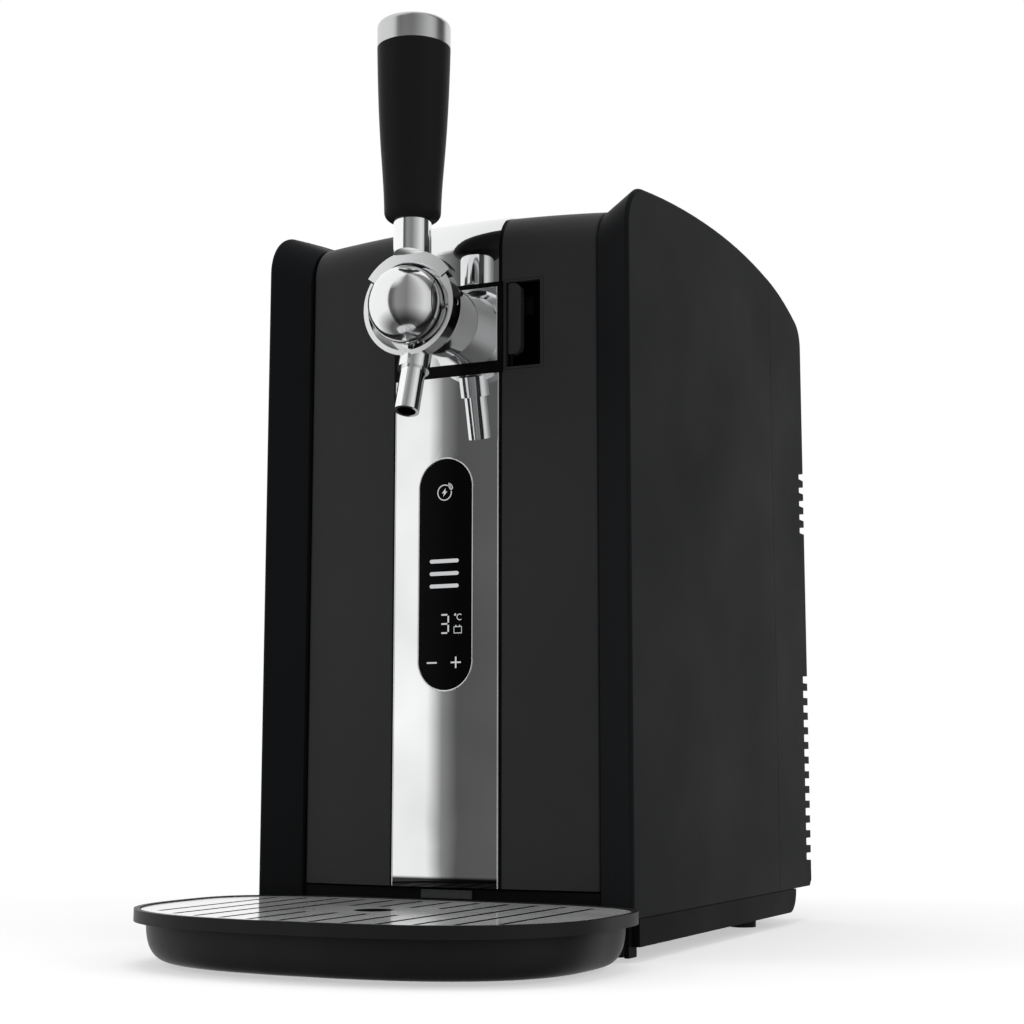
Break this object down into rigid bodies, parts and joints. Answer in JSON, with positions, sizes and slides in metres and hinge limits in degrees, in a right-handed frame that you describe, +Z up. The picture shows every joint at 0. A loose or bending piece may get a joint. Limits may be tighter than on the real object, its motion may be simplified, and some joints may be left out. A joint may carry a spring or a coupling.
{
  "type": "mini keg beer dispenser",
  "caption": "Countertop cooler and tap for a small beer keg: black cabinet, hinged door with chrome strip, upright tap handle, display, louvred rear and slide-out drip tray.",
  "frame": {"origin": "on the ground, under the middle of the outline", "axes": "+Z up, -Y the front with the tap, +X to the right of a user who faces the front"},
  "size_m": [0.281, 0.5114, 0.5567],
  "materials": {
    "black_shell": "satin moulded",
    "grey_plastic": "moulded",
    "liner_plastic": "smooth vacuum-formed",
    "foam": "cellular",
    "chrome": "polished",
    "steel": "brushed",
    "aluminium": "milled",
    "window": "gloss",
    "board": "circuit board",
    "ceramic": "plain",
    "magnet": "ground",
    "rubber": "matt"
  },
  "bodies": {
    "cabinet": {"base": "black_shell", "feet": "rubber", "tray_catch": "grey_plastic", "side_panel_left": "black_shell", "side_panel_right": "black_shell", "top_cover": "black_shell", "rear_cover": "black_shell", "rear_screws": "steel", "mains_inlet": "grey_plastic", "chamber_liner": "liner_plastic", "insulation_left": "foam", "insulation_right": "foam", "cold_plate": "aluminium", "cold_block": "aluminium", "keg_stand": "grey_plastic", "peltier_module": "ceramic", "heat_sink": "aluminium", "fan_frame": "grey_plastic", "power_supply": "steel", "control_board": "board", "air_pump": "steel", "air_fitting": "grey_plastic", "air_hose": "rubber", "hinge_arm": "steel", "hinge_pins": "steel", "catch_strike": "steel"},
    "fan": {"fan_rotor": "grey_plastic"},
    "door": {"door_front": "black_shell", "hinge_bushes": "grey_plastic", "door_liner": "liner_plastic", "door_insulation": "foam", "door_gasket": "rubber", "lower_strip": "chrome", "upper_strip": "chrome", "display_bezel": "chrome", "display_window": "window", "display_board": "board", "latch_frame": "black_shell", "tap_plate": "chrome", "grip_recess": "black_shell", "paddle_pin": "steel", "paddle_spring": "steel", "tap_body": "chrome", "tap_ball": "chrome", "ball_side_cap": "chrome", "spout_tube": "chrome", "tube_nut": "steel", "pivot_pins": "steel"},
    "paddle": {"grip_paddle": "black_shell"},
    "latch": {"latch_slider": "grey_plastic", "catch_magnet": "magnet"},
    "lever": {"lever_yoke": "chrome", "lever_stem": "chrome", "handle_grip": "black_shell", "handle_cap": "chrome"},
    "plunger": {"valve_plunger": "grey_plastic"},
    "tray": {"drip_tray": "black_shell", "tray_feet": "rubber"},
    "grid": {"drip_grid": "steel"}
  },
  "joints": [
    {"name": "door_hinge", "type": "hinge", "parent": "cabinet", "child": "door", "pos_m": [-0.0946, -0.0715, 0.2265], "axis": [0, 0, -1], "range_deg": [0, 90]},
    {"name": "paddle_pull", "type": "hinge", "parent": "door", "child": "paddle", "pos_m": [0.0425, -0.0759, 0.3789], "axis": [0, 0, -1], "range_deg": [0, 20], "stiffness_Nm_per_rad": 0.01, "springref_deg": -11.46},
    {"name": "latch_slide", "type": "slide", "parent": "door", "child": "latch", "axis": [1, 0, 0], "range_m": [0, 0.0061]},
    {"name": "tap_lever", "type": "hinge", "parent": "door", "child": "lever", "pos_m": [0, -0.1248, 0.38], "axis": [1, 0, 0], "range_deg": [0, 35]},
    {"name": "valve_slide", "type": "slide", "parent": "door", "child": "plunger", "axis": [0, -1, 0], "range_m": [0, 0.004]},
    {"name": "tray_slide", "type": "slide", "parent": "cabinet", "child": "tray", "axis": [0, -1, 0], "range_m": [0, 0.12]},
    {"name": "grid_lift", "type": "slide", "parent": "tray", "child": "grid", "axis": [0, 0, 1], "range_m": [0, 0.007]},
    {"name": "fan_spin", "type": "hinge", "parent": "cabinet", "child": "fan", "pos_m": [0, 0.2257, 0.1265], "axis": [0, 1, 0], "continuous": true}
  ],
  "couplings": [
    {"joint": "paddle_pull", "follows": "latch_slide", "rad_per_m": 57.01},
    {"joint": "valve_slide", "follows": "tap_lever", "m_per_rad": 0.0065}
  ]
}
